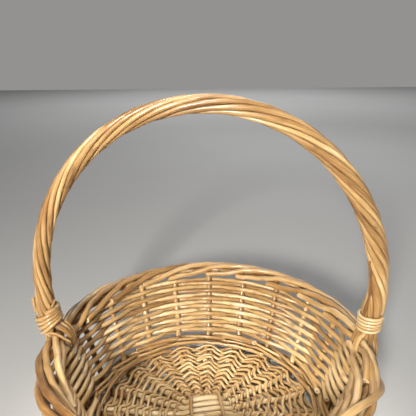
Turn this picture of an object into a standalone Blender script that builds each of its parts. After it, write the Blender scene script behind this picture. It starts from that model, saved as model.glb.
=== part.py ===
"""Woven willow market basket with a fixed roped bow handle.

The basket stands on the world origin with its base in the XY plane, +Z up.
The bow handle spans left to right, in the plane Y = 0.
A slath of crossed base sticks fans out to the base edge, each stick end is
paired with one upright side stake, the stakes are woven with two chasing
weavers and finally laid down over each other as a rod border.
"""
import math

import bpy
from mathutils import Quaternion, Vector

MM = 0.001

# ---- driving dimensions -------------------------------------------------
GAP = 0.3 * MM                      # clearance between neighbouring rods

STAKE_COUNT = 20
STAKE_STEP = 2 * math.pi / STAKE_COUNT
STAKE_RADIUS = 3.3 * MM
FOOT_TO_STAKE = math.radians(2.6)   # bow foot stands just before a stake
STAKE_START = FOOT_TO_STAKE

STICK_RADIUS = 3.3 * MM
STICK_APOTHEM = STICK_RADIUS * math.cos(math.pi / 6)
STICK_PITCH = 2 * STICK_RADIUS + 2 * GAP
LONG_STICKS = 6
CROSS_STICKS = 4
SLATH_TURN = STAKE_START + STAKE_STEP / 2

WEAVER_HALF = 1.9 * MM              # half thickness of a side weaving rod
BASE_WEAVER_HALF = 1.6 * MM        # half thickness of a base weaving rod
BASE_LIFT = STICK_APOTHEM + BASE_WEAVER_HALF + 2 * GAP
BASE_Z = BASE_LIFT + BASE_WEAVER_HALF       # mid height of the base at its edge
SLATH_Z = 2 * BASE_WEAVER_HALF + 2 * GAP + 2 * STICK_APOTHEM + GAP / 2
BASE_FLAT_FROM = 98.0 * MM          # the base rests on its weave beyond here
PAIR_PITCH = 10.0 * MM
PAIR_FIRST = 53.0 * MM
PAIR_ROUNDS = 7
STAKE_INNER = 97.5 * MM
STICK_END = 120.5 * MM
SIDE_BY_SIDE = 3.7 * MM

BASE_AX, BASE_AY = 135.0 * MM, 125.0 * MM   # wall line at the base edge
BASE_SHIFT = -12.0 * MM             # the base sits a little to the front of the rim
SLATH_CENTRE = Vector((0.0, BASE_SHIFT, 0.0))
RIM_AX, RIM_AY = 168.0 * MM, 168.0 * MM     # wall line at the border
BORDER_Z = 102.0 * MM

RANDING_LOW = 0.185                 # fractions of the wall line
RANDING_HIGH = 0.838
RANDING_TURNS = 7
WALE_LEVEL = 0.115
WALL_OFFSET = STAKE_RADIUS + WEAVER_HALF + 3 * GAP

BORDER_HALF_W = 8.4 * MM            # rod centres from the border's centre line
BORDER_BULGE = 2.2 * MM
BORDER_HALF_H = 4.1 * MM
BORDER_SAMPLES = 3
BORDER_REACH = 4.25                 # stake steps a border rod runs on
BORDER_DROP = 10.5 * MM             # the rod end dips inside the wall
FOOT_PHASE = 1.0 - FOOT_TO_STAKE / STAKE_STEP

CORE_RADIUS = 4.9 * MM
CORE_FOOT_RADIUS = 3.3 * MM
CORE_FOOT_LEVEL = 0.36
HANDLE_HALF_SPAN = 179.0 * MM
HANDLE_SPRING_Z = 160.0 * MM
HANDLE_RISE = 197.0 * MM
STRAND_COUNT = 8
STRAND_HALF = 2.1 * MM
STRAND_RING = CORE_RADIUS + STRAND_HALF + 4 * GAP
STRAND_TURNS = -3.75                # signed: which way the rope is laid
STRAND_SAMPLES = 40
STRAND_START = 11.0 * MM            # above the border centre line
TAIL_COSINE = -0.3                  # strands on the inner side run on down
BINDING_HALF = 1.7 * MM
BINDING_TURNS = 5
BINDING_PITCH = 2 * BINDING_HALF + GAP
BINDING_LOW = 15.5 * MM
BINDING_SAMPLES = 9

UP = Vector((0.0, 0.0, 1.0))
SQUARE_SPIN = math.pi / 4


# ---- materials ----------------------------------------------------------
def make_material(name, colour, roughness):
    """One varnished willow tone."""
    material = bpy.data.materials.new(name)
    material.use_nodes = True
    shader = material.node_tree.nodes["Principled BSDF"]
    shader.inputs["Base Color"].default_value = (*colour, 1.0)
    shader.inputs["Roughness"].default_value = roughness
    shader.inputs["Metallic"].default_value = 0.0
    return material


# ---- rods ---------------------------------------------------------------
def tangents(points):
    """Averaged directions along a polyline."""
    result = []
    last = len(points) - 1
    for i in range(last + 1):
        ahead = points[min(i + 1, last)] - points[i]
        behind = points[i] - points[max(i - 1, 0)]
        direction = Vector((0.0, 0.0, 0.0))
        if ahead.length > 0:
            direction += ahead.normalized()
        if behind.length > 0:
            direction += behind.normalized()
        result.append(direction.normalized())
    return result


def carried_normals(directions):
    """Section normals carried along a path without twisting."""
    first = directions[0]
    helper = UP if abs(first.z) < 0.9 else Vector((1.0, 0.0, 0.0))
    normal = (helper - first * helper.dot(first)).normalized()
    result = [normal]
    for before, after in zip(directions, directions[1:]):
        turn = before.rotation_difference(after)
        normal = turn @ normal
        normal = (normal - after * normal.dot(after)).normalized()
        result.append(normal)
    return result


def rod(name, points, radius, sides, material, references=None, spin=0.0):
    """A closed solid rod swept along points; radius may vary per point."""
    directions = tangents(points)
    if references is None:
        normals = carried_normals(directions)
    else:
        normals = []
        for reference, along in zip(references, directions):
            normals.append((reference - along * reference.dot(along)).normalized())
    radii = radius if isinstance(radius, list) else [radius] * len(points)
    vertices = []
    for point, along, normal, size in zip(points, directions, normals, radii):
        side = normal.cross(along)
        for k in range(sides):
            angle = spin + 2 * math.pi * k / sides
            offset = side * math.cos(angle) + normal * math.sin(angle)
            vertices.append(point + offset * size)
    faces = [tuple(reversed(range(sides)))]
    for ring in range(len(points) - 1):
        for k in range(sides):
            a = ring * sides + k
            b = ring * sides + (k + 1) % sides
            faces.append((a, b, b + sides, a + sides))
    top = (len(points) - 1) * sides
    faces.append(tuple(range(top, top + sides)))
    mesh = bpy.data.meshes.new(name)
    mesh.from_pydata(vertices, [], faces)
    mesh.validate()
    mesh.shade_smooth()
    mesh.set_sharp_from_angle(angle=math.radians(60))
    mesh.materials.append(material)
    created = bpy.data.objects.new(name, mesh)
    bpy.context.scene.collection.objects.link(created)
    return created


# ---- plan and wall ------------------------------------------------------
def smooth(value):
    """Clamped smooth step from 0 to 1."""
    t = min(max(value, 0.0), 1.0)
    return t * t * (3 - 2 * t)


def plan_normal(angle, ax, ay):
    """Outward normal of the plan ellipse."""
    return Vector((math.cos(angle) / ax, math.sin(angle) / ay, 0.0)).normalized()


def plan_point(angle, ax, ay, z):
    """Point of the plan ellipse at a height."""
    return Vector((ax * math.cos(angle), ay * math.sin(angle), z))


def base_edge(angle):
    """Point of the wall line at the base."""
    return plan_point(angle, BASE_AX, BASE_AY, BASE_Z) + Vector((0.0, BASE_SHIFT, 0.0))


def wall_axes(angle):
    """Outward normal and upward direction of the sloping wall."""
    low = base_edge(angle)
    high = plan_point(angle, RIM_AX, RIM_AY, BORDER_Z)
    rise = (high - low).normalized()
    outward = plan_normal(angle, RIM_AX, RIM_AY)
    normal = (outward - rise * outward.dot(rise)).normalized()
    return normal, rise


def wall_point(angle, level, offset=0.0, shift=0.0):
    """Point on the wall line at a fraction of its length.

    offset moves it out along the wall normal, shift moves it up the wall.
    """
    low = base_edge(angle)
    high = plan_point(angle, RIM_AX, RIM_AY, BORDER_Z)
    normal, rise = wall_axes(angle)
    return low.lerp(high, level) + normal * offset + rise * shift


def stake_angle(index):
    """Plan angle of one stake."""
    return STAKE_START + STAKE_STEP * index


# ---- base ---------------------------------------------------------------
def base_point(angle, radius, sideways, z):
    """Point of the base at a nominal radius, moved sideways along the round."""
    along = Vector((math.cos(angle), math.sin(angle), 0.0))
    across = Vector((-along.y, along.x, 0.0))
    edge = plan_point(angle, BASE_AX, BASE_AY, 0.0)
    point = edge * (radius / BASE_AX) + across * sideways
    return Vector((point.x, BASE_SHIFT + point.y, z))


def base_height(radius):
    """Mid height of the base, crowned a little towards the slath."""
    return SLATH_Z + (BASE_Z - SLATH_Z) * smooth(radius / BASE_FLAT_FROM)


def stick_shift(radius):
    """Sideways place of a base stick, making room for its stake."""
    return -SIDE_BY_SIDE * smooth((radius - 68 * MM) / (24 * MM))


def base_stick(name, row, rows, height, half_block, spread, turn, material):
    """One base stick: straight through the slath, fanned out at both ends."""
    lane = (row - (rows - 1) / 2) * STICK_PITCH
    arms = []
    for end in (0, 1):
        facing = turn + math.pi * end
        side = 1 if end == 0 else -1
        along = Vector((math.cos(facing), math.sin(facing), 0.0))
        across = Vector((-along.y, along.x, 0.0))
        fan = facing + side * (row - (rows - 1) / 2) * STAKE_STEP
        start = SLATH_CENTRE + along * half_block + across * lane * side
        out = start + along * spread
        aim = base_point(fan, PAIR_FIRST + 2 * MM, 0.0, 0.0)
        pull = aim - Vector((math.cos(fan), math.sin(fan), 0.0)) * spread
        arm = [Vector((start.x, start.y, height))]
        for step in (0.25, 0.5, 0.75, 1.0):
            back = 1 - step
            place = (start * back ** 3 + out * (3 * back ** 2 * step)
                     + pull * (3 * back * step ** 2) + aim * step ** 3)
            reach = (place - SLATH_CENTRE).length
            level = height + (base_height(reach) - height) * smooth(step / 0.75)
            arm.append(Vector((place.x, place.y, level)))
        for radius in (78 * MM, 88 * MM, 97 * MM, STICK_END):
            arm.append(base_point(fan, radius, stick_shift(radius), base_height(radius)))
        arms.append(arm)
    points = list(reversed(arms[1])) + arms[0]
    references = [UP] * len(points)
    return rod(name, points, STICK_RADIUS, 6, material, references)


def build_base_sticks(material):
    """Slath of long sticks lying over cross sticks."""
    low = SLATH_Z - STICK_APOTHEM - GAP / 2
    high = SLATH_Z + STICK_APOTHEM + GAP / 2
    long_block = (CROSS_STICKS * STICK_PITCH) / 2
    cross_block = (LONG_STICKS * STICK_PITCH) / 2
    for row in range(LONG_STICKS):
        base_stick(f"base_stick_long_{row + 1}", row, LONG_STICKS, high, long_block,
                   14 * MM, SLATH_TURN, material)
    for row in range(CROSS_STICKS):
        base_stick(f"base_stick_cross_{row + 1}", row, CROSS_STICKS, low, cross_block,
                   10 * MM, SLATH_TURN + math.pi / 2, material)


def stroke_spots(radius):
    """Sideways places where a weaver lies over or under a stick end."""
    if radius > STAKE_INNER - 5 * MM:
        reach = SIDE_BY_SIDE + 1.3 * MM
        return (-reach, reach)
    reach = 2.7 * MM
    middle = stick_shift(radius)
    return (middle - reach, middle + reach)


def pairing_weaver(name, start_over, material):
    """One of the two rods twisted round every base stick, spiralling out."""
    points = []
    over = start_over
    for index in range(PAIR_ROUNDS * STAKE_COUNT):
        angle = stake_angle(index)
        radius = PAIR_FIRST + PAIR_PITCH * index / STAKE_COUNT
        side = 1 if over else -1
        level = base_height(radius)
        for spot in stroke_spots(radius):
            points.append(base_point(angle, radius, spot, level + side * BASE_LIFT))
        twist = side * PAIR_PITCH / 4
        points.append(base_point(angle + STAKE_STEP / 2, radius + twist, 0.0, level))
        over = not over
    references = [UP] * len(points)
    return rod(name, points, BASE_WEAVER_HALF * math.sqrt(2), 4, material, references,
               SQUARE_SPIN)


def slath_binding(name, over_long, corner, material):
    """Rod that binds the slath: over one group of sticks, under the other."""
    half_x = CROSS_STICKS * STICK_PITCH / 2 + BASE_WEAVER_HALF + 3 * GAP
    half_y = LONG_STICKS * STICK_PITCH / 2 + BASE_WEAVER_HALF + 3 * GAP
    lift = STICK_APOTHEM + BASE_WEAVER_HALF + 2 * GAP
    layer = STICK_APOTHEM + GAP / 2
    side = 1 if over_long else -1
    long_z = SLATH_Z + layer + side * lift
    cross_z = SLATH_Z - layer - side * lift
    points = []
    for quarter in range(4):
        near, far = (half_x, half_y) if quarter % 2 == 0 else (half_y, half_x)
        level = long_z if quarter % 2 == 0 else cross_z
        turn = Quaternion(UP, SLATH_TURN + quarter * math.pi / 2)
        reach = far - 1.5 * MM
        for across in (-reach, reach):
            points.append(SLATH_CENTRE + turn @ Vector((near, across, level)))
        points.append(SLATH_CENTRE + turn @ Vector((near + corner, far + corner, SLATH_Z)))
    closing = points[0].lerp(points[-1], 0.12)
    points.append(closing)
    references = [UP] * len(points)
    return rod(name, points, BASE_WEAVER_HALF * math.sqrt(2), 4, material, references,
               SQUARE_SPIN)


# ---- side ---------------------------------------------------------------
def border_section(phase):
    """Place of a border rod in the border's section at a phase.

    Returns the offset along the wall normal and up the wall.  A rod starts
    low in the middle, moves to the outside, over the top and down inside.
    """
    lap = phase - FOOT_PHASE
    if lap < 0:
        return BORDER_HALF_W * phase / FOOT_PHASE, -BORDER_HALF_H
    if lap < 1:
        bulge = BORDER_BULGE * math.sin(math.pi * lap)
        return BORDER_HALF_W + bulge, BORDER_HALF_H * (2 * lap - 1)
    if lap < 2:
        return BORDER_HALF_W * (3 - 2 * lap), BORDER_HALF_H
    if lap < 3:
        bulge = BORDER_BULGE * math.sin(math.pi * (lap - 2))
        return -BORDER_HALF_W - bulge, BORDER_HALF_H * (5 - 2 * lap)
    fall = (phase - FOOT_PHASE - 3) / (BORDER_REACH - FOOT_PHASE - 3)
    return -BORDER_HALF_W, -BORDER_HALF_H - (BORDER_DROP - BORDER_HALF_H) * fall


def border_point(angle, phase):
    """World point of a border rod at a plan angle and phase."""
    wide, high = border_section(phase)
    return wall_point(angle, 1.0, wide, high)


def stake(index, material):
    """Side stake: from the base edge up the wall and along the border."""
    angle = stake_angle(index)
    points = [
        base_point(angle, STAKE_INNER, SIDE_BY_SIDE, BASE_Z),
        base_point(angle, 121 * MM, SIDE_BY_SIDE, BASE_Z),
        base_point(angle, 128 * MM, 0.5 * SIDE_BY_SIDE, BASE_Z + 0.5 * MM),
        wall_point(angle, 0.035, -1.0 * MM),
        wall_point(angle, 0.085),
        wall_point(angle, 0.87),
        wall_point(angle, 1.0, 0.0, -BORDER_HALF_H - 4 * MM),
        border_point(angle + 0.10 * STAKE_STEP, 0.0),
    ]
    steps = int(BORDER_REACH * BORDER_SAMPLES)
    for step in range(1, steps + 1):
        phase = step / BORDER_SAMPLES
        points.append(border_point(angle + phase * STAKE_STEP, phase))
    points.append(border_point(angle + BORDER_REACH * STAKE_STEP, BORDER_REACH))
    return rod(f"side_stake_{index + 1:02d}", points, STAKE_RADIUS, 5, material)


def upright_angles(index):
    """Plan angles where a weaver turns round one upright."""
    angle = stake_angle(index)
    if index % (STAKE_COUNT // 2) == 0:
        return (angle - FOOT_TO_STAKE, angle)
    return (angle,)


def side_weaver(name, lag, start_outside, material):
    """One of two chasing weavers, outside one upright and inside the next."""
    points, references = [], []
    total = RANDING_TURNS * STAKE_COUNT
    rows = 2 * RANDING_TURNS + 1
    row_level = (RANDING_HIGH - RANDING_LOW) / rows
    outside = start_outside
    for index in range(total + 1):
        for angle in upright_angles(index):
            turns = angle / (2 * math.pi)
            level = RANDING_LOW + row_level * (2 * turns + lag)
            offset = WALL_OFFSET if outside else -WALL_OFFSET
            points.append(wall_point(angle, level, offset))
            references.append(wall_axes(angle)[1])
        outside = not outside
    return rod(name, points, WEAVER_HALF * math.sqrt(2), 4, material, references, SQUARE_SPIN)


def wale_rod(name, lag, material):
    """One of three upsett rods: outside two stakes, then inside one."""
    points, references = [], []
    for half_step in range(2 * STAKE_COUNT):
        travelled = half_step / 2
        angle = STAKE_START + STAKE_STEP * travelled
        turn = 2 * math.pi * (travelled + lag) / 3
        reach = min(1.0, 0.5 - 1.5 * math.cos(turn))
        offset = WALL_OFFSET * reach
        shift = 3.0 * MM * math.sin(turn)
        points.append(wall_point(angle, WALE_LEVEL, offset, shift))
        references.append(wall_axes(angle)[1])
    return rod(name, points, WEAVER_HALF * math.sqrt(2), 4, material, references, SQUARE_SPIN)


# ---- handle -------------------------------------------------------------
def handle_line(side):
    """Right or left half of the bow's centre line, from foot to top."""
    angle = 0.0 if side > 0 else math.pi
    points = [wall_point(angle, CORE_FOOT_LEVEL), wall_point(angle, 0.8)]
    rim = wall_point(angle, 1.0)
    rise = wall_axes(angle)[1]
    spring = Vector((side * HANDLE_HALF_SPAN, 0.0, HANDLE_SPRING_Z))
    reach = 22 * MM
    for step in (0.0, 0.25, 0.5, 0.75):
        back = 1 - step
        points.append(rim * back ** 3 + (rim + rise * reach) * (3 * back ** 2 * step)
                      + (spring - UP * reach) * (3 * back * step ** 2) + spring * step ** 3)
    for step in range(12):
        turn = math.pi / 2 * step / 12
        points.append(Vector((side * HANDLE_HALF_SPAN * math.cos(turn), 0.0,
                              HANDLE_SPRING_Z + HANDLE_RISE * math.sin(turn))))
    return points


def handle_centre_line():
    """Whole bow line from the right foot over the top to the left foot."""
    top = Vector((0.0, 0.0, HANDLE_SPRING_Z + HANDLE_RISE))
    return handle_line(1) + [top] + list(reversed(handle_line(-1)))


def walk(points, distance):
    """Point and direction at a distance along a polyline."""
    left = distance
    for first, second in zip(points, points[1:]):
        length = (second - first).length
        if left <= length:
            return first.lerp(second, left / length), (second - first).normalized()
        left -= length
    return points[-1], (points[-1] - points[-2]).normalized()


def bow_frame(line, distance):
    """Centre, in-plane outward normal and sideways axis on the bow."""
    centre, _ = walk(line, distance)
    ahead, _ = walk(line, distance + 6 * MM)
    behind, _ = walk(line, distance - 6 * MM)
    along = (ahead - behind).normalized()
    sideways = Vector((0.0, 1.0, 0.0))
    outward = sideways.cross(along).normalized()
    return centre, outward, sideways


def build_handle_core(line, material):
    """Bow stick, thinner where it is pushed down the wall beside a stake."""
    radii = []
    for point in line:
        grown = smooth((point.z - BORDER_Z) / (26 * MM))
        radii.append(CORE_FOOT_RADIUS + (CORE_RADIUS - CORE_FOOT_RADIUS) * grown)
    references = [Vector((0.0, 1.0, 0.0))] * len(line)
    return rod("handle_core", line, radii, 6, material, references)


def line_length(points):
    """Length of a polyline."""
    return sum((b - a).length for a, b in zip(points, points[1:]))


def strand_tail(turn, side):
    """Course of a strand that leaves the rope and runs down inside the wall."""
    angle = 0.0 if side > 0 else math.pi
    normal, rise = wall_axes(angle)
    across = Vector((0.0, 1.0, 0.0)) * 1.22 * STRAND_RING * math.sin(turn)
    rim = wall_point(angle, 1.0) + across
    border_side = -BORDER_HALF_W - BORDER_BULGE - STAKE_RADIUS - STRAND_HALF - 2 * GAP
    wall_side = -WALL_OFFSET - WEAVER_HALF - STRAND_HALF - 3 * GAP
    stations = ((0.74 * border_side, 10 * MM),
                (border_side, 3 * MM), (border_side, -13 * MM),
                (wall_side, -23 * MM), (wall_side, -36 * MM))
    return [rim + normal * wide + rise * high for wide, high in stations], -normal


def handle_strand(index, line, material):
    """One rod of the rope wound round the bow stick."""
    foot = line_length(line[:3])
    start = foot + STRAND_START
    span = line_length(line) - 2 * start
    points, references = [], []
    phase = 2 * math.pi * (index + 0.5) / STRAND_COUNT
    for step in range(STRAND_SAMPLES + 1):
        part = step / STRAND_SAMPLES
        centre, outward, sideways = bow_frame(line, start + span * part)
        turn = phase + 2 * math.pi * STRAND_TURNS * part
        away = outward * math.cos(turn) + sideways * math.sin(turn)
        points.append(centre + away * STRAND_RING)
        references.append(away)
    last = phase + 2 * math.pi * STRAND_TURNS
    if math.cos(phase) < TAIL_COSINE:
        tail, away = strand_tail(phase, 1)
        points = list(reversed(tail)) + points
        references = [away] * len(tail) + references
    if math.cos(last) < TAIL_COSINE:
        tail, away = strand_tail(last, -1)
        points = points + tail
        references = references + [away] * len(tail)
    return rod(f"handle_strand_{index + 1}", points, STRAND_HALF * math.sqrt(2), 4,
               material, references, SQUARE_SPIN)


def handle_binding(name, line, side, material):
    """Coil that ties the rope to the bow just above the border."""
    foot = line_length(line[:3])
    total = line_length(line)
    radius = STRAND_RING + STRAND_HALF * math.sqrt(2) + BINDING_HALF + GAP
    points, references = [], []
    for step in range(BINDING_TURNS * BINDING_SAMPLES + 1):
        turns = step / BINDING_SAMPLES
        distance = foot + BINDING_LOW + BINDING_PITCH * turns
        if side < 0:
            distance = total - distance
        centre, outward, sideways = bow_frame(line, distance)
        turn = 2 * math.pi * turns
        away = outward * math.cos(turn) + sideways * math.sin(turn)
        points.append(centre + away * radius)
        references.append(away)
    return rod(name, points, BINDING_HALF * math.sqrt(2), 4, material, references, SQUARE_SPIN)


# ---- assembly -----------------------------------------------------------
for existing in list(bpy.data.objects):
    bpy.data.objects.remove(existing, do_unlink=True)

stick_tone = make_material("willow_stick", (0.62, 0.43, 0.20), 0.42)
stake_tone = make_material("willow_stake", (0.55, 0.35, 0.14), 0.40)
weaver_tone = make_material("willow_weaver", (0.64, 0.44, 0.19), 0.42)
handle_tone = make_material("willow_handle", (0.60, 0.38, 0.14), 0.36)
binding_tone = make_material("willow_binding", (0.70, 0.50, 0.22), 0.28)

build_base_sticks(stick_tone)
pairing_weaver("base_weaver_1", True, weaver_tone)
pairing_weaver("base_weaver_2", False, weaver_tone)
slath_binding("slath_binding_1", True, 4.5 * MM, weaver_tone)
slath_binding("slath_binding_2", False, 0.2 * MM, weaver_tone)
for stake_index in range(STAKE_COUNT):
    stake(stake_index, stake_tone)
for wale_index in range(3):
    wale_rod(f"upsett_rod_{wale_index + 1}", wale_index, weaver_tone)
side_weaver("side_weaver_1", 0, True, weaver_tone)
side_weaver("side_weaver_2", 1, False, weaver_tone)
bow_line = handle_centre_line()
build_handle_core(bow_line, stick_tone)
for strand_index in range(STRAND_COUNT):
    handle_strand(strand_index, bow_line, handle_tone)
handle_binding("handle_binding_right", bow_line, 1, binding_tone)
handle_binding("handle_binding_left", bow_line, -1, binding_tone)
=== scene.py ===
# Looks of the woven willow market basket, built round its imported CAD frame.
# Every CAD rod is stood for by willow rods made here: smooth round tubes that
# run on the same lines as the CAD rods, but swell, taper, bend and end as
# peeled willow does.  All sizes are in metres, in the frame of the CAD part.
import math
import zlib

import bpy
import numpy as np
from mathutils import Matrix, Vector


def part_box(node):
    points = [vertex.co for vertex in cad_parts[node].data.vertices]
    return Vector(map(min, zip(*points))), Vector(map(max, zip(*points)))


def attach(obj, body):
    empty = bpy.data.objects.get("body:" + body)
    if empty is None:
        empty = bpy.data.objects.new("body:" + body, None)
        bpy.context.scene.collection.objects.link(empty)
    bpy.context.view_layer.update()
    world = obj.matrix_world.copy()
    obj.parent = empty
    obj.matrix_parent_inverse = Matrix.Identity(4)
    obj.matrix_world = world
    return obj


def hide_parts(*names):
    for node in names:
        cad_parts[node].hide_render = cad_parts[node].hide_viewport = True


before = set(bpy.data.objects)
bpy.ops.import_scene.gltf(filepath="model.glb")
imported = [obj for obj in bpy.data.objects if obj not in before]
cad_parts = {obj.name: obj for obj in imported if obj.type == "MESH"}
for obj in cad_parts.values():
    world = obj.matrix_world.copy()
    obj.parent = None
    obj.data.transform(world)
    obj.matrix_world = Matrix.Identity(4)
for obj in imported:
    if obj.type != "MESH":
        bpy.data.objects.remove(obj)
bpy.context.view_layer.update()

MM = 0.001
TAU = 2 * math.pi
UP = np.array((0.0, 0.0, 1.0))
SIDEWAYS = np.array((0.0, 1.0, 0.0))

# ---- driving dimensions, most of them the CAD part's ---------------------
STAKE_COUNT = 20
STAKE_STEP = TAU / STAKE_COUNT
FOOT_TO_STAKE = math.radians(2.6)
STAKE_START = FOOT_TO_STAKE

STICK_PITCH = 8.0 * MM
LONG_STICKS = 6
CROSS_STICKS = 4
SLATH_TURN = STAKE_START + STAKE_STEP / 2
BASE_LIFT = 4.95 * MM
BASE_Z = 6.8 * MM
SLATH_Z = 9.67 * MM
SLATH_LAYER = 3.0 * MM
BASE_FLAT_FROM = 98.0 * MM
FAN_RADIUS = 34.0 * MM
PAIR_PITCH = 9.0 * MM
PAIR_FIRST = 33.0 * MM
PAIR_ROUNDS = 11
PAIR_DIP = 0.038                    # how far a round sags in between two sticks
PAIR_SAGS = (0.6, 1.3)              # least and most share of that sag
PAIR_JITTER = (0.010, 0.9 * MM)     # spread of a stroke's angle and radius
# Way from one stroke to the next: share of the step, of the sag, and of the height.
PAIR_COURSE = ((0.25, 0.6, 0.65), (0.5, 1.0, 0.0), (0.75, 0.6, -0.65))
PAIR_BREAKS = {1: (73, 135), 2: (83, 143)}  # strokes at which a new rod takes over
STAKE_INNER = 97.5 * MM
STICK_END = 120.5 * MM
STICK_STATIONS = (50 * MM, 64 * MM, 78 * MM, 88 * MM, 97 * MM, STICK_END)
SIDE_BY_SIDE = 3.7 * MM

BASE_AX, BASE_AY = 135.0 * MM, 125.0 * MM
BASE_SHIFT = -12.0 * MM             # the base sits a little to the front
SLATH_SHIFT = -7.0 * MM             # and so does the slath within the base
SLATH_CENTRE = np.array((0.0, BASE_SHIFT + SLATH_SHIFT, 0.0))
RIM_AX, RIM_AY = 168.0 * MM, 168.0 * MM
BORDER_Z = 102.0 * MM

RANDING_LOW = 0.165
RANDING_HIGH = 0.915
RANDING_TURNS = 7
WEAVER_STROKES = 33                 # least number of stakes that a side weaver passes
LEAST_STROKES = 12                  # a shorter rest is left to the weaver before
WALE_LOW, WALE_HIGH = 0.02, 0.135
WALE_ROUNDS = 2
FILLER_STAKES = range(12, 20)
FILLER_LOW, FILLER_RISE = 0.168, 0.0045     # level, and its rise at every stake
WALL_OFFSET = 6.6 * MM

CORE_RADIUS = 4.9 * MM
CORE_FOOT_LEVEL = 0.36
HANDLE_SPRING_Z = 160.0 * MM
core_low, core_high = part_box("handle_core")
HANDLE_HALF_SPAN = (core_high.x - core_low.x) / 2 - CORE_RADIUS
HANDLE_RISE = core_high.z - CORE_RADIUS - HANDLE_SPRING_Z
# Way of the bow through its two bindings, as (out, up) in mm; 1 is right, -1 left.
BOW_FOOT = {
    1: ((170.6, 100.0), (174.4, 113.0), (174.8, 125.0), (175.4, 138.0)),
    -1: ((171.2, 100.0), (175.4, 111.0), (177.8, 123.0), (179.6, 137.0))}
STRAND_COUNT = 8
STRAND_TURNS = -3.75
STRAND_WIDTHS = (0.82, 1.2)         # least and most share of the rope, before scaling
TAIL_TIP = 1.9 * MM
INNER_TAIL, OUTER_TAIL = -0.25, 0.7     # cosines that sort the strands' ends

# ---- sizes of the willow rods -------------------------------------------
STICK_RADIUS = 3.6 * MM
STAKE_BUTT = 3.6 * MM
STAKE_BORDER = 4.1 * MM
STAKE_TIP = 3.4 * MM
WEAVER_RADIUS = 2.9 * MM
BASE_WEAVER_RADIUS = 2.0 * MM
BASE_WEAVER_FLAT = 0.80
WALE_BUTT, WALE_TIP = 2.3 * MM, 1.9 * MM
CORNER_RODS = 6
CORNER_REACH, CORNER_LEVEL = 124.5 * MM, 13.5 * MM
UPSETT_BUTTS = 6
BUTT_SPAN = 0.46                    # radians round the wall
STRAND_DEPTH = 2.45 * MM            # half thickness of a strand, out from the bow
FLOOR_GAP = 0.1 * MM

# ---- shape of the handle ------------------------------------------------
TIED_POINT = 4                      # point of the bow where its bindings start
# Radius of the rope's ring in mm, at shares of the bow's length.
RING_SHARES = (0.0, 0.118, 0.13, 0.17, 0.21, 0.28, 0.5, 0.85, 0.88, 1.0)
RING_RADII = (7.7, 7.7, 8.7, 7.4, 8.2, 8.0, 6.7, 6.9, 8.2, 9.0)
# Length of one turn of the rope, at shares of the bow's length.
PITCH_SHARES = (0.0, 0.07, 0.14, 0.4, 0.62, 0.85, 1.0)
PITCHES = (520.0, 320.0, 165.0, 235.0, 205.0, 160.0, 170.0)
# Bindings: rod radius, rounds, start past the tied point, tilt, tilt added per round.
BINDINGS = {1: (1.85 * MM, 4.9, 7.0 * MM, 0.02, 0.012),
            -1: (2.35 * MM, 4.7, -0.5 * MM, -0.62, 0.07)}
# Ways of the strand ends below the bindings, as (out from the rim, up, spread) in mm.
TAILS_INSIDE = {
    1: ((-3.6, 9.0, 9.0), (-5.6, 3.0, 10.5), (-6.4, -4.0, 11.5), (-6.2, -11.0, 11.5)),
    -1: ((-3.0, 12.0, 9.0), (-8.5, 7.5, 8.0), (-11.8, 1.0, 7.0), (-14.0, -6.0, 6.0),
         (-15.0, -12.0, 5.0))}
TAILS_OUTSIDE = ((13.0, 10.0, 9.0), (14.8, 4.0, 9.0), (16.0, -5.0, 9.0), (16.8, -14.0, 9.0))
# Short ends at the left foot of the handle, as points in mm.
STUB = ((-191.5, -1.0, 131.0), (-192.2, -1.0, 139.0), (-192.8, 0.0, 148.0))
NUB = ((-169.6, -6.0, 141.0), (-167.4, -6.0, 145.0), (-165.4, -6.0, 149.5))
BINDING_TAIL = ((-172.0, -15.0, 113.0), (-166.4, -14.0, 111.5), (-158.0, -13.0, 105.0),
                (-152.6, -12.0, 99.5), (-153.8, -11.0, 93.5), (-156.0, -10.0, 87.0))

# ---- willow grain, as noise cells per metre (round the rod, along it) ---
FIBRES = (2600.0, 60.0)
STREAKS = (620.0, 22.0)
BLOTCHES = (130.0, 26.0)
STAINS = (330.0, 13.0)
BLOTCH_SHARE, STREAK_SHARE, FIBRE_SHARE = 0.85, 0.50, 0.20
STAIN_COLOUR = (0.36, 0.15, 0.045)
SCAR_COLOUR = (0.16, 0.075, 0.025)
# Painted shade in the creases between rods: its dark colour, and how near another rod must lie
# to darken a spot.
PAINTED_SHADE_COLOUR = (0.10, 0.042, 0.012)
PAINTED_SHADE_REACH = 5.0 * MM
FRESH_CUT = ((0.3, (0.50, 0.33, 0.15)), (0.7, (0.80, 0.64, 0.38)))
PITH_COLOUR = (0.20, 0.10, 0.035)
PITH_EDGE = (1.0 * MM, 0.5 * MM)

# ---- unevenness and knots of a rod --------------------------------------
OVAL = 0.035                        # how far a section is from round
FIRST_KNOT = (10 * MM, 60 * MM)     # least and most distance from the rod's start
KNOT_GAPS = (32 * MM, 85 * MM)
KNOT_SWELL, KNOT_BUMP = 0.03, 0.09  # of the rod's radius: all round, and at its scar
KNOT_LENGTH = 3.2 * MM
KNOT_WIDTH = 0.55                   # radians round the rod
END_CLEARANCE = 8 * MM              # no knot so near the rod's end
SETTLED = 12 * MM                   # a rod drifts off its points beyond here from an end
CUT_RINGS = (0.84, 0.36)            # rings of a cut face, as shares of its rim
SHARP_ANGLE = math.radians(50)

# ---- floor, light and camera --------------------------------------------
FLOOR_HALF = 6.0
FLOOR_COLOURS = ((0.3, (0.50, 0.50, 0.49)), (0.7, (0.54, 0.54, 0.53)))
WORLD_LIGHT = 0.10
WORLD_SEEN = 0.32                   # what the camera sees past the floor
CAMERA_PLACE = (0.0284, -0.3905, 0.3942)
CAMERA_FORWARD = np.array((-0.0613, 0.9407, -0.3337))
CAMERA_RIGHT = np.array((0.9979, 0.0651, 0.0))
CAMERA_ROLL = math.radians(0.73)
CAMERA_LENS = 36.09

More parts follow.
